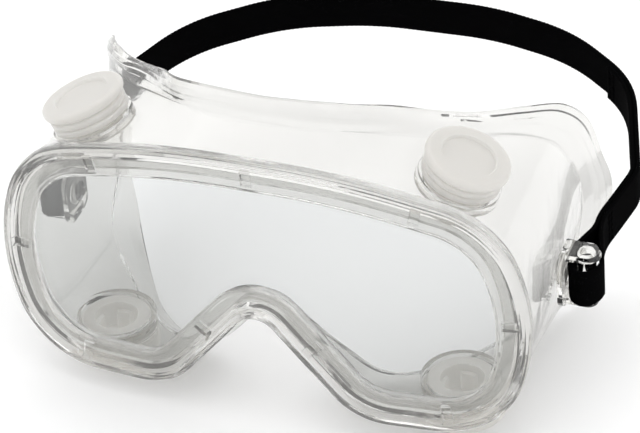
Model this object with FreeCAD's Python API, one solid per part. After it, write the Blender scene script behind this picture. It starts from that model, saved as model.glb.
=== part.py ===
import FreeCAD, Part
import math
import os

# Chemical-splash safety goggles: a one-piece clear soft frame, a curved lens snapped into its
# front channel, four two-part round vents, two strap clips on studs, and an elastic headband.
# Millimetres. X is left to right, Y runs from the lens back to the head, Z is up.
# The model is drawn with Y = 0 at the lens side and Z = 0 at mid height of the rim, and is
# moved at the end so that the origin is the centre of the footprint on the table.

V = FreeCAD.Vector

# ---- front rim -----------------------------------------------------------------------------
# Half outline of the rim seen from the front: corner points (x, z) and their fillet radii,
# from the nose arch round the cheek and temple to the brow. It is mirrored about X = 0.
RIM_CORNERS = [(0.0, -4.1, 6.5), (29.0, -38.9, 22.0), (73.4, -38.9, 27.0),
               (84.4, 1.6, 66.0), (71.9, 36.7, 30.2), (26.5, 47.1, 185.0)]
FRONT_RADIUS = 578.0        # horizontal curve of the lens and rim
STATIONS = 132              # cross-sections round the rim
BEAD_WIDTH = 3.8            # round bead along the rim's outer edge
BEAD_STEPS = 6
LIP_INNER = 10.0            # width of the whole rim, bead and retaining lip
LIP_FRONT = 1.7             # the lip's front face, behind the bead's crest
GROOVE_DEPTH_AT = 5.0       # how far inside the outline the lens groove ends
GROOVE_FRONT = 3.6
GROOVE_BACK = 5.7
SHOULDER_INNER = 8.6        # inner edge of the shoulder behind the lens
SHOULDER_BACK = 7.4

# ---- walls and face flange -----------------------------------------------------------------
WALL_INSET = 1.6            # wall's outer face, inside the bead
WALL = 2.0
WALL_START = 7.4
FLANGE_ROOT = 1.6
FLANGE_EDGE = 1.1
# Face contour at places round the rim, as (x, z) of the outline, then the crease where the
# flange begins and the flange's free edge, each as offset outward from the outline and depth,
# and how far the flange bows outward between them.
FACE_CONTOUR = [
    ((0.0, 47.1), 3.8, 19.0, 11.6, 18.0, 0.3),
    ((12.0, 46.9), 4.2, 19.0, 12.8, 17.4, 0.4),
    ((20.0, 46.4), 5.3, 19.2, 14.3, 17.0, 0.6),
    ((26.0, 45.9), 4.5, 22.3, 12.9, 20.8, 0.8),
    ((33.1, 45.0), 2.5, 28.1, 9.1, 29.7, 1.0),
    ((41.0, 43.7), 0.7, 34.5, 3.8, 40.0, 1.2),
    ((48.8, 42.0), -0.7, 40.8, 1.0, 47.5, 1.6),
    ((56.6, 40.2), -2.4, 48.5, 1.5, 52.7, 2.0),
    ((64.0, 37.2), -3.6, 56.6, 1.7, 62.2, 2.4),
    ((70.3, 32.3), -4.4, 64.0, 1.0, 73.7, 2.4),
    ((76.0, 24.0), -5.0, 72.0, -0.9, 82.5, 1.6),
    ((80.4, 8.0), -5.4, 79.0, -2.4, 88.5, 1.0),
    ((81.0, -5.0), -5.4, 82.0, -1.2, 93.4, 0.8),
    ((78.6, -19.5), -3.4, 77.0, 0.7, 93.2, 0.8),
    ((71.6, -32.0), 2.4, 64.0, 5.5, 86.0, 0.8),
    ((66.5, -36.2), 1.2, 56.0, 6.4, 76.0, 1.0),
    ((60.0, -38.1), -0.6, 48.0, 4.4, 62.0, 1.0),
    ((50.0, -38.9), -0.6, 36.0, 3.0, 44.0, 0.6),
    ((41.0, -38.9), -0.6, 28.0, 3.0, 34.5, 0.4),
    ((31.0, -36.8), -1.0, 22.5, 4.4, 29.0, 0.4),
    ((22.0, -30.5), -1.9, 19.0, 4.8, 26.0, 0.3),
    ((13.0, -19.8), -1.8, 15.0, 4.0, 20.5, 0.3),
    ((5.5, -10.7), -1.7, 13.4, 3.6, 17.5, 0.2),
    ((0.0, -7.8), -1.7, 13.0, 3.4, 16.5, 0.2)]

# ---- notches across the retaining lip ------------------------------------------------------
NOTCH_WIDTH = 3.0
NOTCH_LENGTH = 5.4
NOTCH_INNER = 8.4           # the notch's inner end, inside the outline
NOTCH_FLOOR = 2.9           # depth behind the bead's crest
NOTCH_AT = [(0.0, 47.1), (50.4, 41.6), (81.2, 1.4), (57.3, -38.5), (12.6, -19.2)]

# ---- lens ----------------------------------------------------------------------------------
LENS_INSET = 5.1            # the lens's edge, inside the outline
LENS_THICK = 2.0
LENS_GAP = 0.05             # play between the lens and each side of its groove
LENS_REACH = 90.0           # half size of the curved slab that the lens is cut from

# ---- vents ---------------------------------------------------------------------------------
VENT_DEPTH = 23.8           # distance of the vents' axes behind the lens
# Seat centre (x, z) of each right-hand vent and its axis, in degrees outward from straight up.
TOP_VENT = (56.3, 38.3, 21.0)
BOTTOM_VENT = (55.0, -37.2, 180.0)
VENT_BORE_R = 6.6
VENT_TUBE_R = 8.4
VENT_HOLE_R = 8.5
VENT_SEAT_R = 12.4
VENT_SEAT = 2.35            # thickness of the flat seat moulded into the wall
VENT_SKIRT = 2.2            # the seat's edge reaches this much further into the wall
VENT_RELIEF = 4.0           # flat pocket inside the wall, for the inner flange
VENT_SPOT_FACE = 6.0        # the wall is cleared this high over the seat, for rings and cap
VENT_INNER_FLANGE_R = 10.5
VENT_INNER_FLANGE = 1.5
VENT_RING_R = 11.8
VENT_RING_TOPS = (2.0, 4.2)  # the two outer rings, with a groove between them
VENT_GROOVE = 0.4
VENT_NECK_TOP = 4.6
CAP_R = 12.7
CAP_UNDER = 5.2
CAP_TOP = 8.2
CAP_RECESS_R = 7.8
CAP_RECESS = 0.8
CAP_LEG_R = 6.52
CAP_LEG = 1.4
CAP_LEG_END = -1.2
CAP_SLOT = 4.4              # gap between neighbouring legs

# ---- strap clips and studs -----------------------------------------------------------------
STUD_Y = 50.5
STUD_Z = -9.4
STUD_R = 3.2
STUD_ROOT_X = 75.8          # inside the wall, so that the stud grows out of it
STUD_HEAD_R = 4.3
STUD_HEAD = 0.64
STUD_GAP = 0.08             # running clearance round the stud
CLIP_BACK = 78.1            # X of the clip plate's face next to the wall
CLIP_PLATE = 1.6
CLIP_SINK = 0.8             # counterbore for the stud's head
CLIP_FRONT = 7.4            # plate's front edge, ahead of the stud
CLIP_LENGTH = 14.0
CLIP_HALF_HEIGHT = 9.2
CLIP_ARM = 2.3
CLIP_ARM_LENGTH = 7.4
POST_X = 85.2
POST_R = 2.8
POST_HEAD_R = 4.4           # domed head on the post's upper end
POST_HEAD = 2.2
HEAD_GAP = 0.25             # clearance round the stud's head

# ---- headband ------------------------------------------------------------------------------
STRAP_WIDTH = 12.7
STRAP_THICK = 1.5
LOOP_SIDE = 4.6             # half width and half length of the fold round the post
LOOP_FRONT = 6.6
HOOP_REAR = 166.0
# Half plan of the hoop's middle line: corner points (x, y) and fillet radii.
HOOP_CORNERS = [(84.0, 69.0, 24.0), (88.4, 95.0, 16.0), (75.5, 136.0, 45.0),
                (49.0, 157.5, 60.0)]
STRAP_RISE = 2.9            # degrees that clips and headband are turned up at rest
TAIL_START = 20.0           # distance along the hoop where the inner layer joins it
TAIL_RIGHT_END = 0.46       # length of each inner layer, as a share of the half hoop
TAIL_LEFT_END = 0.16
WELD = 0.05                 # how far layers that are sewn together sink into each other


def unit(x, y):
    length = math.hypot(x, y)
    return x / length, y / length


def rounded_path(corners, closed):
    """Straight runs and tangent arcs through rounded corners, as sampled (x, y, nx, ny, s).

    Each corner is (x, y, radius). The normals point to the right of the direction of travel."""
    count = len(corners)
    pieces = []
    marks = []
    inner = range(count) if closed else range(1, count - 1)
    for i in inner:
        x0, y0, _ = corners[i - 1]
        x1, y1, radius = corners[i]
        x2, y2, _ = corners[(i + 1) % count]
        ax, ay = unit(x1 - x0, y1 - y0)
        bx, by = unit(x2 - x1, y2 - y1)
        turn = math.atan2(ax * by - ay * bx, ax * bx + ay * by)
        back = radius * math.tan(abs(turn) / 2)
        marks.append((x1 - ax * back, y1 - ay * back, x1 + bx * back, y1 + by * back,
                      ax, ay, radius, turn))
    if closed:
        previous = marks[-1][2:4]
    else:
        previous = corners[0][:2]
    for sx, sy, ex, ey, ax, ay, radius, turn in marks:
        pieces.append(("line", previous[0], previous[1], sx, sy))
        pieces.append(("arc", sx, sy, ax, ay, radius, turn))
        previous = (ex, ey)
    if not closed:
        pieces.append(("line", previous[0], previous[1], corners[-1][0], corners[-1][1]))
    return pieces


def piece_length(piece):
    if piece[0] == "line":
        return math.hypot(piece[3] - piece[1], piece[4] - piece[2])
    return piece[5] * abs(piece[6])


def point_on(pieces, s):
    """Point and right-hand normal at distance s along a rounded path."""
    for piece in pieces:
        length = piece_length(piece)
        if s <= length or piece is pieces[-1]:
            break
        s -= length
    if piece[0] == "line":
        dx, dy = unit(piece[3] - piece[1], piece[4] - piece[2])
        return piece[1] + dx * s, piece[2] + dy * s, dy, -dx
    _, sx, sy, ax, ay, radius, turn = piece
    side = math.copysign(1.0, turn)
    angle = side * s / radius
    cx, cy = sx - side * ay * radius, sy + side * ax * radius
    dx = ax * math.cos(angle) - ay * math.sin(angle)
    dy = ax * math.sin(angle) + ay * math.cos(angle)
    return cx + side * dy * radius, cy - side * dx * radius, dy, -dx


def mirrored(corners):
    """Whole closed ring of corners from the half with x >= 0, run anticlockwise."""
    left = [(-x, z, r) for x, z, r in reversed(corners) if x > 0]
    return corners + left


RIM_PATH = rounded_path(mirrored(RIM_CORNERS), True)
RIM_LENGTH = sum(piece_length(p) for p in RIM_PATH)


def nearest_station(x, z):
    """Distance along the rim of the outline point nearest to (x, z)."""
    steps = 4000
    best = min(range(steps), key=lambda k: math.hypot(
        point_on(RIM_PATH, RIM_LENGTH * k / steps)[0] - x,
        point_on(RIM_PATH, RIM_LENGTH * k / steps)[1] - z))
    return RIM_LENGTH * best / steps


def front_drop(x):
    """How far the curved front has swept back at this x."""
    return FRONT_RADIUS - math.sqrt(FRONT_RADIUS ** 2 - x * x)


def contour_table():
    rows = []
    for (x, z), *shape in FACE_CONTOUR:
        rows.append((nearest_station(x, z), *shape))
        if x > 0:
            rows.append((nearest_station(-x, z), *shape))
    rows.sort()
    first, last = rows[0], rows[-1]
    wrapped = [(last[0] - RIM_LENGTH,) + last[1:]] + rows
    wrapped += [(first[0] + RIM_LENGTH,) + first[1:], (rows[1][0] + RIM_LENGTH,) + rows[1][1:]]
    wrapped.insert(0, (rows[-2][0] - RIM_LENGTH,) + rows[-2][1:])
    return wrapped


CONTOUR = contour_table()


def face_contour(s):
    """Crease and edge, each as offset and depth, and bow at rim distance s, smoothly blended."""
    i = max(k for k in range(1, len(CONTOUR) - 2) if CONTOUR[k][0] <= s)
    p0, p1, p2, p3 = CONTOUR[i - 1:i + 3]
    t = (s - p1[0]) / (p2[0] - p1[0])
    out = []
    for c in range(1, len(p1)):
        m1 = (p2[c] - p0[c]) / (p2[0] - p0[0]) * (p2[0] - p1[0])
        m2 = (p3[c] - p1[c]) / (p3[0] - p1[0]) * (p2[0] - p1[0])
        out.append((2 * t ** 3 - 3 * t ** 2 + 1) * p1[c] + (t ** 3 - 2 * t ** 2 + t) * m1
                   + (3 * t ** 2 - 2 * t ** 3) * p2[c] + (t ** 3 - t ** 2) * m2)
    return out


def section(s, x, nx):
    """Frame cross-section at rim distance s, as (offset from outline, depth) points."""
    crease_out, crease, edge_out, edge_depth, bow = face_contour(s)
    bead = BEAD_WIDTH / 2
    rim = [(-WALL_INSET, WALL_START - 0.6), (-0.9, 5.6), (-0.15, 4.6), (0.0, 3.2)]
    for k in range(BEAD_STEPS + 1):
        angle = math.pi * k / BEAD_STEPS
        rim.append((-bead + bead * math.cos(angle), bead - bead * math.sin(angle)))
    rim += [(-BEAD_WIDTH - 0.5, LIP_FRONT), (-8.3, LIP_FRONT), (-8.8, 1.35), (-9.5, 1.35),
            (-LIP_INNER, 1.9), (-LIP_INNER, GROOVE_FRONT - 0.4),
            (-LIP_INNER + 0.4, GROOVE_FRONT), (-GROOVE_DEPTH_AT, GROOVE_FRONT),
            (-GROOVE_DEPTH_AT, GROOVE_BACK), (-SHOULDER_INNER, GROOVE_BACK),
            (-SHOULDER_INNER, SHOULDER_BACK)]
    rim = [(n, d + front_drop(x + n * nx)) for n, d in rim]
    # middle line of the wall and the flange, with half thicknesses
    start = WALL_START + front_drop(x - WALL_INSET * nx)
    top = (-WALL_INSET - WALL / 2, start)
    root = (crease_out - WALL / 2, crease)
    edge = (edge_out, edge_depth)
    dn, dd = unit(edge[0] - root[0], edge[1] - root[1])
    middle = []
    for t in (0.0, 0.5, 0.95):
        middle.append((top[0] + (root[0] - top[0]) * t, top[1] + (root[1] - top[1]) * t,
                       WALL / 2))
    steps = 4
    for k in range(1, steps + 1):
        t = k / steps
        swell = 4 * t * (1 - t) * bow
        half = (FLANGE_ROOT + (FLANGE_EDGE - FLANGE_ROOT) * t) / 2
        middle.append((root[0] + (edge[0] - root[0]) * t + dd * swell,
                       root[1] + (edge[1] - root[1]) * t - dn * swell, half))
    outer, inner = [], []
    for k, (n, d, half) in enumerate(middle):
        before = middle[max(k - 1, 0)]
        after = middle[min(k + 1, len(middle) - 1)]
        tn, td = unit(after[0] - before[0], after[1] - before[1])
        outer.append((n + td * half, d - tn * half))
        inner.append((n - td * half, d + tn * half))
    tip = middle[-1]
    tip_point = (tip[0] + tn * tip[2], tip[1] + td * tip[2])
    return rim + inner + [tip_point] + outer[::-1]


def closed_curve(points):
    curve = Part.BSplineCurve()
    curve.interpolate(Points=points, PeriodicFlag=True,
                      Parameters=[k / len(points) for k in range(len(points) + 1)])
    return curve


def ring_solid(rows):
    """Solid bounded by ruled strips between successive closed curves, last joined to first."""
    curves = [closed_curve(row) for row in rows]
    faces = []
    for a, b in zip(curves, curves[1:] + curves[:1]):
        strip = Part.BSplineSurface()
        strip.buildFromPolesMultsKnots([a.getPoles(), b.getPoles()], [2, 2],
                                       a.getMultiplicities(), [0.0, 1.0], a.getKnots(),
                                       False, True, 1, a.Degree)
        faces.append(strip.toShape())
    shell = Part.Shell(faces)
    shell.sewShape()
    solid = Part.Solid(shell)
    if solid.Volume < 0:
        solid.reverse()
    return solid


def rim_stations():
    stations = []
    for k in range(STATIONS):
        s = RIM_LENGTH * (k + 0.5) / STATIONS
        x, z, nx, nz = point_on(RIM_PATH, s)
        stations.append((s, x, z, nx, nz))
    return stations


def frame_shell():
    rows = None
    for s, x, z, nx, nz in rim_stations():
        points = section(s, x, nx)
        if rows is None:
            rows = [[] for _ in points]
        for row, (n, depth) in zip(rows, points):
            row.append(V(x + n * nx, depth, z + n * nz))
    return ring_solid(rows)


def slab_between(y_front, y_back, reach):
    """Slab of the curved front between two depths behind the lens, wide and tall."""
    def arc(depth):
        drop = front_drop(reach)
        return Part.Arc(V(-reach, depth + drop, -reach), V(0, depth, -reach),
                        V(reach, depth + drop, -reach)).toShape()
    front, back = arc(y_front), arc(y_back)
    ends = [Part.makeLine(V(side * reach, y_front + front_drop(reach), -reach),
                          V(side * reach, y_back + front_drop(reach), -reach))
            for side in (-1, 1)]
    wire = Part.Wire(Part.__sortEdges__([front, back] + ends))
    return Part.Face(wire).extrude(V(0, 0, 2 * reach))


def outline_prism(inset, depth):
    points = [V(x - inset * nx, 0, z - inset * nz) for _, x, z, nx, nz in rim_stations()]
    face = Part.Face(Part.Wire(closed_curve(points).toShape()))
    return face.extrude(V(0, depth, 0))


def lens():
    front = GROOVE_FRONT + LENS_GAP
    slab = slab_between(front, front + LENS_THICK, LENS_REACH)
    deepest = front + LENS_THICK + front_drop(LENS_REACH)
    return outline_prism(LENS_INSET, deepest).common(slab)


def placed(shape, origin, axis, spin=0.0):
    """Shape drawn about +Z at the origin, moved so that +Z points along the axis."""
    turn = FreeCAD.Rotation(V(0, 0, 1), axis).multiply(FreeCAD.Rotation(V(0, 0, 1), spin))
    moved = shape.copy()
    moved.Placement = FreeCAD.Placement(origin, turn)
    return moved


def revolved(profile):
    """Solid of revolution about Z from (radius, height) corner points."""
    points = [V(r, 0, h) for r, h in profile]
    face = Part.Face(Part.makePolygon(points + points[:1]))
    return face.revolve(V(0, 0, 0), V(0, 0, 1), 360)


def rounded_edge(radius, low, high, fillet, steps=6):
    """Points of a rim whose outer edge is rounded over, from its low to its high side."""
    points = []
    for k in range(steps + 1):
        angle = math.radians(-90 + 90 * k / steps)
        points.append((radius - fillet + fillet * math.cos(angle),
                       low + fillet + fillet * math.sin(angle)))
    for k in range(steps + 1):
        angle = math.radians(90 * k / steps)
        points.append((radius - fillet + fillet * math.cos(angle),
                       high - fillet + fillet * math.sin(angle)))
    return points


def vent_frame(seat, side):
    """Seat centre and outward axis of a vent on one side."""
    x, z, tilt = seat
    angle = math.radians(tilt)
    return V(side * x, VENT_DEPTH, z), V(side * math.sin(angle), 0, math.cos(angle))


def vent_base():
    """Grommet: inner flange, tube through the wall, two outer rings and a neck."""
    inner = -VENT_SEAT - VENT_INNER_FLANGE
    seated = -VENT_SEAT - 0.1
    profile = [(VENT_BORE_R, inner), (VENT_INNER_FLANGE_R - 0.5, inner),
               (VENT_INNER_FLANGE_R, inner + 0.5), (VENT_INNER_FLANGE_R, inner + 1.0),
               (VENT_TUBE_R + 0.6, seated), (VENT_TUBE_R, seated), (VENT_TUBE_R, 0.0)]
    first, second = VENT_RING_TOPS
    groove_r = VENT_RING_R - 1.1
    profile += rounded_edge(VENT_RING_R, 0.0, first, 0.7)
    profile += [(groove_r, first), (groove_r, first + VENT_GROOVE)]
    profile += rounded_edge(VENT_RING_R, first + VENT_GROOVE, second, 0.7)
    profile += [(VENT_RING_R - 2.0, second), (VENT_RING_R - 2.2, VENT_NECK_TOP),
                (VENT_BORE_R, VENT_NECK_TOP)]
    return revolved(profile)


def vent_cap():
    """Mushroom cap: thick round brim with a shallow recess, four legs in the base's bore."""
    leg_in = CAP_LEG_R - CAP_LEG
    profile = [(0.0, CAP_UNDER), (CAP_R - 2.6, CAP_UNDER)]
    profile += rounded_edge(CAP_R, CAP_UNDER - 0.2, CAP_TOP, 1.4)
    profile += [(CAP_RECESS_R + 0.5, CAP_TOP), (CAP_RECESS_R, CAP_TOP - CAP_RECESS),
                (0.0, CAP_TOP - CAP_RECESS)]
    cap = revolved(profile)
    legs = revolved([(leg_in, CAP_LEG_END), (CAP_LEG_R, CAP_LEG_END),
                     (CAP_LEG_R, CAP_UNDER), (leg_in, CAP_UNDER)])
    ribs = revolved([(leg_in, VENT_NECK_TOP), (VENT_RING_R - 2.6, VENT_NECK_TOP),
                     (VENT_RING_R - 2.6, CAP_UNDER), (leg_in, CAP_UNDER)])
    reach = 2 * CAP_R
    for turn in (0, 90):
        slot = Part.makeBox(reach, CAP_SLOT, CAP_UNDER - CAP_LEG_END,
                            V(-reach / 2, -CAP_SLOT / 2, CAP_LEG_END))
        slot.rotate(V(0, 0, 0), V(0, 0, 1), turn)
        legs = legs.cut(slot)
        ribs = ribs.cut(slot)
    return cap.fuse([legs, ribs]).removeSplitter()


def lip_notch(at, side):
    """Shallow slot across the retaining lip, square to the rim."""
    x, z, nx, nz = point_on(RIM_PATH, nearest_station(at[0], at[1]))
    above = 2.0
    box = Part.makeBox(NOTCH_WIDTH, NOTCH_FLOOR + above, NOTCH_LENGTH,
                       V(-NOTCH_WIDTH / 2, -above, -NOTCH_INNER))
    tilt = math.degrees(math.atan2(nx, nz))
    box.rotate(V(0, 0, 0), V(0, 1, 0), tilt)
    middle = NOTCH_INNER - NOTCH_LENGTH / 2
    box.translate(V(x, front_drop(x - middle * nx), z))
    return box if side > 0 else box.mirror(V(0, 0, 0), V(1, 0, 0))


def stud(side):
    """Boss moulded on the side wall, with a head that lies in the clip's counterbore."""
    shank_end = CLIP_BACK + CLIP_PLATE - CLIP_SINK
    shank = Part.makeCylinder(STUD_R, shank_end - STUD_ROOT_X,
                              V(STUD_ROOT_X, STUD_Y, STUD_Z), V(1, 0, 0))
    head = Part.makeCylinder(STUD_HEAD_R, STUD_HEAD, V(shank_end, STUD_Y, STUD_Z), V(1, 0, 0))
    outer = [e for e in head.Edges if e.CenterOfMass.x > shank_end + 0.9 * STUD_HEAD]
    head = head.makeFillet(0.4, outer)
    boss = shank.fuse(head)
    return boss if side > 0 else boss.mirror(V(0, 0, 0), V(1, 0, 0))


def frame_body(vents):
    body = frame_shell()
    for origin, axis in vents:
        relief = Part.makeCylinder(VENT_INNER_FLANGE_R + 0.3, VENT_RELIEF,
                                   V(0, 0, -VENT_SEAT - VENT_RELIEF))
        seat = Part.makeCylinder(VENT_SEAT_R, VENT_SEAT + VENT_SKIRT,
                                 V(0, 0, -VENT_SEAT - VENT_SKIRT)).cut(relief)
        clear = Part.makeCylinder(VENT_SEAT_R, VENT_SPOT_FACE)
        body = body.cut([placed(relief, origin, axis), placed(clear, origin, axis)])
        body = body.fuse(placed(seat, origin, axis))
        hole = Part.makeCylinder(VENT_HOLE_R, 4 * WALL, V(0, 0, -2 * WALL))
        body = body.cut(placed(hole, origin, axis))
    for side in (-1, 1):
        body = body.fuse(stud(side))
    for at in NOTCH_AT:
        for side in ((1,) if at[0] == 0 else (-1, 1)):
            body = body.cut(lip_notch(at, side))
    return body


def strap_clip():
    """Right-hand clip: a plate that turns on the stud, two arms and the post for the strap."""
    height = 2 * CLIP_HALF_HEIGHT
    low = STUD_Z - CLIP_HALF_HEIGHT
    plate = Part.makeBox(CLIP_PLATE, CLIP_LENGTH, height,
                         V(CLIP_BACK, STUD_Y - CLIP_FRONT, low))
    plate = plate.makeFillet(4.0, [e for e in plate.Edges if abs(e.tangentAt(0).x) > 0.9])
    outer = POST_X + POST_R + 0.6
    clip = plate
    for base in (low, low + height - CLIP_ARM):
        arm = Part.makeBox(outer - CLIP_BACK, CLIP_ARM_LENGTH, CLIP_ARM,
                           V(CLIP_BACK, STUD_Y - CLIP_ARM_LENGTH / 2, base))
        arm = arm.makeFillet(3.0, [e for e in arm.Edges
                                   if abs(e.tangentAt(0).z) > 0.9 and e.CenterOfMass.x > POST_X])
        clip = clip.fuse(arm)
    post = Part.makeCylinder(POST_R, height - 1.0, V(POST_X, STUD_Y, low + 0.5))
    ball = (POST_HEAD_R ** 2 + POST_HEAD ** 2) / (2 * POST_HEAD)
    above = math.degrees(math.asin((ball - POST_HEAD) / ball))
    dome = Part.makeSphere(ball, V(0, 0, 0), V(0, 0, 1), above, 90, 360)
    dome.translate(V(POST_X, STUD_Y, low + height - CLIP_ARM + 0.6 - (ball - POST_HEAD)))
    clip = clip.fuse([post, dome])
    bore = Part.makeCylinder(STUD_R + STUD_GAP, CLIP_PLATE + 2 * HEAD_GAP,
                             V(CLIP_BACK - HEAD_GAP, STUD_Y, STUD_Z), V(1, 0, 0))
    sink = Part.makeCylinder(STUD_HEAD_R + HEAD_GAP, CLIP_SINK + HEAD_GAP,
                             V(CLIP_BACK + CLIP_PLATE - CLIP_SINK - HEAD_GAP, STUD_Y, STUD_Z),
                             V(1, 0, 0))
    return clip.cut(bore.fuse(sink)).removeSplitter()


def band(points, thickness):
    """Upright strip of webbing along sampled (x, y, nx, ny) points."""
    low = STUD_Z - STRAP_WIDTH / 2
    sides = []
    for offset in (thickness / 2, -thickness / 2):
        curve = Part.BSplineCurve()
        curve.interpolate([V(x + offset * nx, y + offset * ny, low) for x, y, nx, ny in points])
        sides.append(curve.toShape())
    ends = [Part.makeLine(sides[0].valueAt(sides[0].ParameterRange[k]),
                          sides[1].valueAt(sides[1].ParameterRange[k])) for k in (0, 1)]
    wire = Part.Wire(Part.__sortEdges__(sides + ends))
    return Part.Face(wire).extrude(V(0, 0, STRAP_WIDTH))


def hoop_half():
    """Middle line of the hoop from the clip's post to the rear, as a rounded path."""
    rear_y = HOOP_REAR - STRAP_THICK / 2
    return rounded_path([(POST_X + LOOP_SIDE, STUD_Y, 0.0)] + HOOP_CORNERS
                        + [(20.0, rear_y, 80.0), (0.0, rear_y, 0.0)], False)


def sampled(path, first, last, count):
    return [point_on(path, first + (last - first) * k / count) for k in range(count + 1)]


def flipped(points):
    return [(-x, y, -nx, ny) for x, y, nx, ny in points]


def inner_layer(path, end):
    """The strap's folded-back end: round the post, then sewn along the inside of the hoop."""
    fold_steps = 16
    points = []
    for k in range(fold_steps + 1):
        angle = -math.pi * k / fold_steps
        c, s = math.cos(angle), math.sin(angle)
        nx, ny = unit(-LOOP_FRONT * c, -LOOP_SIDE * s)
        points.append((POST_X + LOOP_SIDE * c, STUD_Y + LOOP_FRONT * s, nx, ny))
    inward = STRAP_THICK - WELD
    tail = [(x - inward * nx, y - inward * ny, nx, ny)
            for x, y, nx, ny in sampled(path, TAIL_START, end, 50)]
    x, y, nx, ny = tail[0]
    lead = 4.0
    inner_x = POST_X - LOOP_SIDE
    run = rounded_path([(inner_x, STUD_Y, 0.0), (inner_x, STUD_Y + 7.0, 12.0),
                        (x + lead * ny, y - lead * nx, 12.0), (x, y, 0.0)], False)
    length = sum(piece_length(p) for p in run)
    return points + sampled(run, 0.0, length, 12)[1:-1] + tail


def headband():
    path = hoop_half()
    length = sum(piece_length(p) for p in path)
    right = sampled(path, 0.0, length, 90)
    left = flipped(reversed(right[:-1]))
    strap = band(right + left, STRAP_THICK)
    long_end = inner_layer(path, TAIL_START + TAIL_RIGHT_END * length)
    short_end = inner_layer(path, TAIL_START + TAIL_LEFT_END * length)
    return strap.fuse([band(long_end, STRAP_THICK), band(flipped(short_end), STRAP_THICK)])


def main():
    places = {"top_left": (TOP_VENT, -1), "top_right": (TOP_VENT, 1),
              "bottom_left": (BOTTOM_VENT, -1), "bottom_right": (BOTTOM_VENT, 1)}
    vents = {name: vent_frame(seat, side) for name, (seat, side) in places.items()}
    table = vents["bottom_right"][0].z - CAP_TOP * abs(vents["bottom_right"][1].z)
    to_table = V(0, -HOOP_REAR / 2, -table)

    parts = {"frame_body": frame_body(vents.values()), "lens": lens()}
    for name, (origin, axis) in vents.items():
        parts["vent_base_" + name] = placed(vent_base(), origin, axis)
        parts["vent_cap_" + name] = placed(vent_cap(), origin, axis, 45.0)
    clip = strap_clip()
    clip.rotate(V(0, STUD_Y, STUD_Z), V(1, 0, 0), STRAP_RISE)
    parts["strap_clip_right"] = clip
    parts["strap_clip_left"] = clip.mirror(V(0, 0, 0), V(1, 0, 0))
    parts["headband"] = headband()
    parts["headband"].rotate(V(0, STUD_Y, STUD_Z), V(1, 0, 0), STRAP_RISE)

    os.makedirs("parts", exist_ok=True)
    for name, shape in parts.items():
        moved = shape.copy()
        moved.translate(to_table)
        moved.exportStep(os.path.join("parts", name + ".step"))
        box = moved.BoundBox
        print("%-24s valid %s solids %d volume %9.1f box x %.1f..%.1f y %.1f..%.1f z %.1f..%.1f" % (
            name, moved.isValid(), len(moved.Solids), moved.Volume, box.XMin, box.XMax,
            box.YMin, box.YMax, box.ZMin, box.ZMax))
    for name, (origin, axis) in vents.items():
        print(name, origin + to_table, axis)
    print("stud axis", V(0, STUD_Y, STUD_Z) + to_table, "shift", to_table)


main()
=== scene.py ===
import math

import bmesh
import bpy
from mathutils import Matrix, Vector


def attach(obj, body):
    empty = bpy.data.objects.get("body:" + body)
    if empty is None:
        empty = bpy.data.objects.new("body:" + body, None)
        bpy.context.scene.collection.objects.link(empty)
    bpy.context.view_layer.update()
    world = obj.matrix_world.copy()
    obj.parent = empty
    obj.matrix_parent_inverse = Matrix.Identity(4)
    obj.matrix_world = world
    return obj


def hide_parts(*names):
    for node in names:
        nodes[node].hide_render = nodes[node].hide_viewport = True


# Clear chemical-splash goggles on a pale table. Metres. The frame, lens, vents and clips are
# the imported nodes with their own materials; the headband is woven here as one long ribbon.

MM = 0.001
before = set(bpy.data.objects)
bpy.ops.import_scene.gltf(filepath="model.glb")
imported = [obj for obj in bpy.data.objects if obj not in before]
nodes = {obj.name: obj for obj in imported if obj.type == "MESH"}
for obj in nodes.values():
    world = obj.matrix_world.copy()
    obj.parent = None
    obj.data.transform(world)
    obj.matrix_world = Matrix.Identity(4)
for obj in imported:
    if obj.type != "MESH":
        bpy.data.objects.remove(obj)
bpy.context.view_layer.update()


# ---- camera --------------------------------------------------------------------------------
# Solved from the photograph by a least-squares fit, then rounded.
AIM = Vector((0.0197, -0.0755, 0.0739))
AZIMUTH, ELEVATION, ROLL = 22.09, 35.40, 3.68       # degrees
DISTANCE = 0.940
LENS_MM = 187.5
SENSOR_MM = 36.0


def make_camera():
    az, el, roll = (math.radians(a) for a in (AZIMUTH, ELEVATION, ROLL))
    back = Vector((math.sin(az) * math.cos(el), -math.cos(az) * math.cos(el), math.sin(el)))
    right = Vector((math.cos(az), math.sin(az), 0.0))
    up = back.cross(right)
    tilted_right = math.cos(roll) * right - math.sin(roll) * up
    tilted_up = math.sin(roll) * right + math.cos(roll) * up
    camera = bpy.data.objects.new("camera", bpy.data.cameras.new("camera"))
    camera.data.sensor_width = SENSOR_MM
    camera.data.lens = LENS_MM
    place = Matrix((tilted_right, tilted_up, back)).transposed().to_4x4()
    place.translation = AIM + DISTANCE * back
    camera.matrix_world = place
    bpy.context.scene.collection.objects.link(camera)
    bpy.context.scene.camera = camera


# ---- materials -----------------------------------------------------------------------------
def new_material(name):
    material = bpy.data.materials.new(name)
    material.use_nodes = True
    tree = material.node_tree
    return material, tree, tree.nodes["Principled BSDF"]


def set_values(shader, **values):
    for name, value in values.items():
        shader.inputs[name.replace("_", " ")].default_value = value


def node(tree, kind, **values):
    made = tree.nodes.new(kind)
    for name, value in values.items():
        if name in made.inputs:
            made.inputs[name].default_value = value
        else:
            setattr(made, name, value)
    return made


def object_coordinates(tree, per_metre):
    """Coordinates that ride on the piece, with so many noise cells to the metre."""
    where = node(tree, "ShaderNodeTexCoord")
    mapping = node(tree, "ShaderNodeMapping")
    mapping.inputs["Scale"].default_value = (per_metre, per_metre, per_metre)
    tree.links.new(where.outputs["Object"], mapping.inputs["Vector"])
    return mapping.outputs["Vector"]


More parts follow.
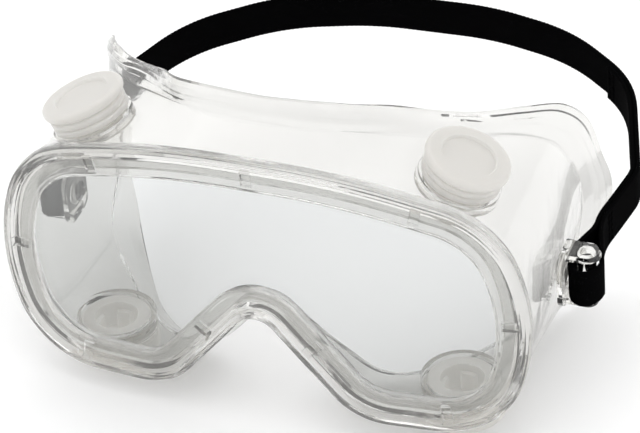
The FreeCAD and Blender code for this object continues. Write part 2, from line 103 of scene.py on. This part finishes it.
def bump(tree, height, distance, before=None):
    """Normal of a bump whose full height is the distance, in metres."""
    made = node(tree, "ShaderNodeBump", Strength=1.0, Distance=distance)
    tree.links.new(height, made.inputs["Height"])
    if before is not None:
        tree.links.new(before, made.inputs["Normal"])
    return made.outputs["Normal"]


def clear_vinyl():
    """Soft clear vinyl: faintly grey, glossy, with slow waves left by the moulding.

    The IOR is below real vinyl's and a tenth is left diffuse, to match the photo's contrast.
    """
    material, tree, shader = new_material("clear_soft_vinyl")
    set_values(shader, Base_Color=(0.875, 0.870, 0.852, 1), Roughness=0.05, IOR=1.34,
               Transmission_Weight=0.90)
    waves = node(tree, "ShaderNodeTexNoise", Scale=1.0, Detail=2.0)
    tree.links.new(object_coordinates(tree, 55), waves.inputs["Vector"])
    slow = bump(tree, waves.outputs["Fac"], 0.00022)
    skin = node(tree, "ShaderNodeTexNoise", Scale=1.0, Detail=3.0)
    tree.links.new(object_coordinates(tree, 700), skin.inputs["Vector"])
    tree.links.new(bump(tree, skin.outputs["Fac"], 0.000008, before=slow),
                   shader.inputs["Normal"])
    return material


def clear_lens():
    """Polished polycarbonate, faintly cool grey. Its IOR is below the real value, for contrast."""
    material, _, shader = new_material("clear_polycarbonate")
    set_values(shader, Base_Color=(0.795, 0.808, 0.808, 1), Roughness=0.0, IOR=1.38,
               Transmission_Weight=1.0)
    return material


def milky_plastic():
    """Natural polyethylene: milky, warm grey, satin skin with fine grain.

    The small emission stands in for light let through by translucent walls.
    """
    material, tree, shader = new_material("milky_vent_plastic")
    set_values(shader, Base_Color=(0.53, 0.52, 0.50, 1), Roughness=0.34, IOR=1.40,
               Transmission_Weight=0.45, Subsurface_Weight=0.8, Subsurface_Scale=0.006,
               Emission_Color=(1.0, 0.985, 0.95, 1), Emission_Strength=0.18)
    shader.inputs["Subsurface Radius"].default_value = (1.0, 0.95, 0.9)
    grain = node(tree, "ShaderNodeTexNoise", Scale=1.0, Detail=3.0)
    tree.links.new(object_coordinates(tree, 900), grain.inputs["Vector"])
    tree.links.new(bump(tree, grain.outputs["Fac"], 0.00002), shader.inputs["Normal"])
    return material


def clear_clip_plastic():
    """Hard clear styrene, faintly yellow in the thick places."""
    material, tree, shader = new_material("clear_hard_plastic")
    set_values(shader, Base_Color=(0.95, 0.945, 0.92, 1), Roughness=0.015, IOR=1.57,
               Transmission_Weight=1.0)
    flow = node(tree, "ShaderNodeTexNoise", Scale=1.0, Detail=1.0)
    tree.links.new(object_coordinates(tree, 160), flow.inputs["Vector"])
    tree.links.new(bump(tree, flow.outputs["Fac"], 0.00012), shader.inputs["Normal"])
    return material


def black_elastic():
    """Black woven elastic: matt yarn with fine fuzz. The ribs and weave are in the mesh."""
    material, tree, shader = new_material("woven_elastic")
    set_values(shader, Base_Color=(0.0016, 0.0016, 0.0018, 1), Specular_IOR_Level=0.01)
    yarn = node(tree, "ShaderNodeTexNoise", Scale=1.0, Detail=4.0)
    tree.links.new(object_coordinates(tree, 1500), yarn.inputs["Vector"])
    spread = node(tree, "ShaderNodeMapRange")
    spread.inputs["To Min"].default_value = 0.75
    spread.inputs["To Max"].default_value = 0.95
    tree.links.new(yarn.outputs["Fac"], spread.inputs["Value"])
    tree.links.new(spread.outputs["Result"], shader.inputs["Roughness"])
    tree.links.new(bump(tree, yarn.outputs["Fac"], 0.00006), shader.inputs["Normal"])
    return material


# ---- headband ------------------------------------------------------------------------------
def add_piece(name, mesh, body, material):
    piece = bpy.data.objects.new(name, mesh)
    bpy.context.scene.collection.objects.link(piece)
    mesh.materials.append(material)
    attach(piece, body)
    return piece


# Millimetres from here to the end of the section. The plan sizes are those of the CAD headband.
STUD = Vector((0.0, -32.5, 36.0))
RISE = 2.9                             # degrees that the band is turned up round the studs
STRAP_WIDTH, STRAP_THICK = 12.7, 1.42
POST_X = 85.2
FOLD_SIDE, FOLD_FRONT = 4.6, 6.6       # half width and half length of the fold round the post
REAR_Y = 82.25
LEAN, LEAN_START, LEAN_RUN = 2.4, -5.0, 60.0    # the hoop hangs a little lower on the left
HOOP_CORNERS = [(84.0, -14.0, 24.0), (88.4, 12.0, 16.0), (75.5, 53.0, 45.0), (49.0, 74.5, 60.0),
                (20.0, REAR_Y, 80.0)]
LAYER_START, LONG_END, SHORT_END = 20.0, 99.6, 47.7     # doubled parts, along the hoop
LAYER_GAP = 0.03                       # between the hoop and the layer doubled inside it
LEAD_LENGTH, LEAD_RADIUS = 4.0, 12.0   # bends that bring the fold back to the hoop
POST_RUN = 7.0                         # straight part behind the post, inside the fold
STEP = 0.5                             # one weft thread per step
RIBS = 14
POINTS_PER_RIB = 3
RIB_HEIGHT, WEFT_HEIGHT, TOOTH = 0.10, 0.05, 0.14
SELVEDGE = 0.1                         # share of the half width over which the edge rounds off
SELVEDGE_LEAST = 0.15                  # thickness left at the very edge, as a share
ARC_STEPS, FOLD_STEPS = 24, 40
SEAM_IN, SEAM_BACK = 3.0, 5.0          # seams' distances from the two ends of a doubled part
SEAM_MARGIN = 1.2                      # webbing left free above and below a seam
SEAM_ROWS = (0.0, 2.2)
SEAM_STITCHES = 9
ZIGZAG = 0.8
THREAD_RADIUS, THREAD_PROUD = 0.16, 0.05


def rounded_path(corners):
    """Dense points along straight runs joined by tangent arcs; corners are (x, y, radius)."""
    points = [Vector(corners[0][:2])]
    for before, corner, after in zip(corners, corners[1:], corners[2:]):
        here = Vector(corner[:2])
        run_in = (here - Vector(before[:2])).normalized()
        run_out = (Vector(after[:2]) - here).normalized()
        turn = run_in.angle_signed(run_out)
        back = corner[2] * math.tan(abs(turn) / 2)
        start, end = here - run_in * back, here + run_out * back
        for k in range(ARC_STEPS + 1):
            t = k / ARC_STEPS
            points.append(start.lerp(here, t).lerp(here.lerp(end, t), t))
    points.append(Vector(corners[-1][:2]))
    return points


def resampled(points, step):
    """Evenly spaced points along a dense polyline."""
    reach = [0.0]
    for a, b in zip(points, points[1:]):
        reach.append(reach[-1] + (b - a).length)
    count = max(2, round(reach[-1] / step))
    out, i = [], 0
    for k in range(count + 1):
        want = reach[-1] * k / count
        while i < len(points) - 2 and reach[i + 1] < want:
            i += 1
        span = max(reach[i + 1] - reach[i], 1e-9)
        out.append(points[i].lerp(points[i + 1], (want - reach[i]) / span))
    return out


def inner_side(points, distance):
    """The polyline moved to its left, towards the inside of the hoop."""
    moved = []
    for k, here in enumerate(points):
        ahead = points[min(k + 1, len(points) - 1)] - points[max(k - 1, 0)]
        ahead.normalize()
        moved.append(here + Vector((-ahead.y, ahead.x)) * distance)
    return moved


def half_strap(hoop, end):
    """From the end of the inner layer, forward to the post, round it, and back to the rear."""
    layer = inner_side(hoop, STRAP_THICK + LAYER_GAP)
    first, last = round(LAYER_START / STEP), round(end / STEP)
    tail = layer[first:last]
    ahead = (tail[1] - tail[0]).normalized()
    inner_x = POST_X - FOLD_SIDE
    lead = tail[0] - ahead * LEAD_LENGTH
    run = rounded_path([(inner_x, STUD.y, 0), (inner_x, STUD.y + POST_RUN, LEAD_RADIUS),
                        (lead.x, lead.y, LEAD_RADIUS), (tail[0].x, tail[0].y, 0)])
    fold = []
    for k in range(1, FOLD_STEPS):
        angle = math.pi + math.pi * k / FOLD_STEPS
        fold.append(Vector((POST_X + FOLD_SIDE * math.cos(angle),
                            STUD.y + FOLD_FRONT * math.sin(angle))))
    return tail[::-1] + run[::-1][1:] + fold + hoop


def turned_up(across, out, along):
    """Point of the band in metres, from height over the studs' axis, x and y."""
    behind = min(max((along - LEAN_START) / LEAN_RUN, 0.0), 1.0)
    across += LEAN * out / POST_X * behind * behind * (3 - 2 * behind)
    turn = Matrix.Rotation(math.radians(RISE), 3, "X")
    return (STUD + turn @ (Vector((out, along, STUD.z + across)) - STUD)) * MM


def add_stitch(bm, start, end, sides=6, steps=5):
    """One thread lying on the webbing, bowed a little and sunk at both ends."""
    axis = (end - start).normalized()
    side = axis.orthogonal().normalized()
    other = axis.cross(side)
    rings = []
    for k in range(steps + 1):
        t = k / steps
        middle = start.lerp(end, t)
        thick = THREAD_RADIUS * MM * (0.45 + 0.55 * math.sin(math.pi * t))
        rings.append([bm.verts.new(middle + thick * (math.cos(a) * side + math.sin(a) * other))
                      for a in (2 * math.pi * j / sides for j in range(sides))])
    for a, b in zip(rings, rings[1:]):
        for k in range(sides):
            j = (k + 1) % sides
            bm.faces.new((a[k], b[k], b[j], a[j]))
    bm.faces.new(rings[0][::-1])
    bm.faces.new(rings[-1])


def add_seam(bm, hoop, distance, side):
    """Two upright rows of zigzag stitches that hold the inner layer to the hoop."""
    reach = STRAP_WIDTH / 2 - SEAM_MARGIN
    for row in SEAM_ROWS:
        at = round((distance + row) / STEP)
        here, after = hoop[at], hoop[at + 3]
        ahead = (after - here).normalized()
        for face in (STRAP_THICK / 2 + THREAD_PROUD, -1.5 * STRAP_THICK - 2 * THREAD_PROUD):
            foot = here + Vector((ahead.y, -ahead.x)) * face
            for k in range(SEAM_STITCHES):
                low = -reach + 2 * reach * k / SEAM_STITCHES
                high = -reach + 2 * reach * (k + 1) / SEAM_STITCHES
                a, b = foot, foot + ahead * ZIGZAG
                if k % 2:
                    a, b = b, a
                add_stitch(bm, turned_up(low, side * a.x, a.y), turned_up(high, side * b.x, b.y))


def strap_line(hoop):
    """Middle line of the whole strap, from the long right-hand end to the short left-hand end."""
    right = half_strap(hoop, LONG_END)
    left = [Vector((-p.x, p.y)) for p in reversed(half_strap(hoop, SHORT_END)[:-1])]
    return resampled(right + left, STEP)


def cross_section(row):
    """Closed loop of (across, out) round one weft thread of the ribbed webbing."""
    half_width = STRAP_WIDTH / 2 + (TOOTH if row % 3 else 0.0)
    count = RIBS * POINTS_PER_RIB
    side = []
    for k in range(count + 1):
        v = -1 + 2 * k / count
        rib = k // POINTS_PER_RIB
        inside = math.sin(math.pi * (k % POINTS_PER_RIB) / POINTS_PER_RIB)
        past = max(0.0, (abs(v) - (1 - SELVEDGE)) / SELVEDGE)
        edge = math.sqrt(max(0.0, 1 - past ** 2))
        height = (STRAP_THICK / 2 - RIB_HEIGHT) * max(edge, SELVEDGE_LEAST)
        height += RIB_HEIGHT * inside + WEFT_HEIGHT * (-1) ** (row + rib) * inside
        side.append((v * half_width, height))
    back = [(v, -h) for v, h in reversed(side)]
    return side + back


def sweep(line):
    """Ribbed webbing along a line in plan, upright, turned up round the studs."""
    bm = bmesh.new()
    rings = []
    for row, here in enumerate(line):
        ahead = line[min(row + 1, len(line) - 1)] - line[max(row - 1, 0)]
        ahead.normalize()
        out = Vector((ahead.y, -ahead.x))
        ring = []
        for across, height in cross_section(row):
            ring.append(bm.verts.new(turned_up(across, here.x + out.x * height,
                                               here.y + out.y * height)))
        rings.append(ring)
    for a, b in zip(rings, rings[1:]):
        for k in range(len(a)):
            j = (k + 1) % len(a)
            bm.faces.new((a[k], b[k], b[j], a[j]))
    bm.faces.new(rings[0][::-1])
    bm.faces.new(rings[-1])
    return bm


def add_headband(material):
    hoop = resampled(rounded_path([(POST_X + FOLD_SIDE, STUD.y, 0)] + HOOP_CORNERS
                                  + [(0.0, REAR_Y, 0)]), STEP)
    bm = sweep(strap_line(hoop))
    for distance in (LAYER_START + SEAM_IN, LONG_END - SEAM_BACK):
        add_seam(bm, hoop, distance, 1)
    for distance in (LAYER_START + SEAM_IN, SHORT_END - SEAM_BACK):
        add_seam(bm, hoop, distance, -1)
    bmesh.ops.recalc_face_normals(bm, faces=bm.faces)
    mesh = bpy.data.meshes.new("headband_weave")
    bm.to_mesh(mesh)
    bm.free()
    mesh.polygons.foreach_set("use_smooth", [True] * len(mesh.polygons))
    piece = add_piece("headband_weave", mesh, "headband_assembly", material)
    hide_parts("headband")


# ---- table, light --------------------------------------------------------------------------
TABLE_REACH = 3.0                      # metres from the middle to each side
HORIZON_LIGHT, ZENITH_LIGHT = 0.72, 1.12
HORIZON_TOP, ZENITH_FROM = 0.02, 0.45  # heights of the view direction between which it brightens


def make_stage():
    bm = bmesh.new()
    bmesh.ops.create_grid(bm, x_segments=4, y_segments=4, size=TABLE_REACH)
    mesh = bpy.data.meshes.new("table")
    bm.to_mesh(mesh)
    bm.free()
    table = bpy.data.objects.new("table", mesh)
    bpy.context.scene.collection.objects.link(table)
    material, _, shader = new_material("pale_table")
    set_values(shader, Base_Color=(0.96, 0.96, 0.96, 1), Roughness=0.9, Specular_IOR_Level=0.1)
    mesh.materials.append(material)


def area_light(name, place, target, size, power):
    light = bpy.data.lights.new(name, "AREA")
    light.shape = "RECTANGLE"
    light.size, light.size_y = size
    light.energy = power
    lamp = bpy.data.objects.new(name, light)
    lamp.location = place
    lamp.rotation_euler = (Vector(target) - Vector(place)).to_track_quat("-Z", "Y").to_euler()
    bpy.context.scene.collection.objects.link(lamp)


def make_world():
    """Bright soft surroundings that darken towards the horizon, so that clear edges read."""
    world = bpy.data.worlds.new("studio")
    world.use_nodes = True
    tree = world.node_tree
    direction = node(tree, "ShaderNodeTexCoord")
    parts = node(tree, "ShaderNodeSeparateXYZ")
    tree.links.new(direction.outputs["Generated"], parts.inputs["Vector"])
    rise = node(tree, "ShaderNodeMapRange", interpolation_type="SMOOTHSTEP")
    rise.inputs["From Min"].default_value = HORIZON_TOP
    rise.inputs["From Max"].default_value = ZENITH_FROM
    rise.inputs["To Min"].default_value = HORIZON_LIGHT
    rise.inputs["To Max"].default_value = ZENITH_LIGHT
    tree.links.new(parts.outputs["Z"], rise.inputs["Value"])
    tree.links.new(rise.outputs["Result"], tree.nodes["Background"].inputs["Strength"])
    tree.nodes["Background"].inputs["Color"].default_value = (1.0, 1.0, 1.0, 1)
    bpy.context.scene.world = world


def make_light():
    make_world()
    area_light("overhead", place=(0.0, 0.15, 1.3), target=(0, 0, 0), size=(1.6, 1.6), power=4)
    area_light("left", place=(-1.3, -0.5, 0.7), target=(0, 0, 0.05), size=(0.9, 0.9), power=1.5)


def main():
    make_camera()
    make_stage()
    make_light()
    scene = bpy.context.scene
    scene.view_settings.view_transform = "Standard"
    # A ray crosses many walls of clear plastic before it comes out again.
    scene.cycles.max_bounces = 28
    scene.cycles.transmission_bounces = 26
    looks = {"frame_body": clear_vinyl(), "lens": clear_lens()}
    milky, clip = milky_plastic(), clear_clip_plastic()
    add_headband(black_elastic())
    for name, piece in nodes.items():
        if name == "headband":
            continue
        look = looks.get(name) or (milky if name.startswith("vent") else clip)
        piece.data.materials.clear()
        piece.data.materials.append(look)


main()
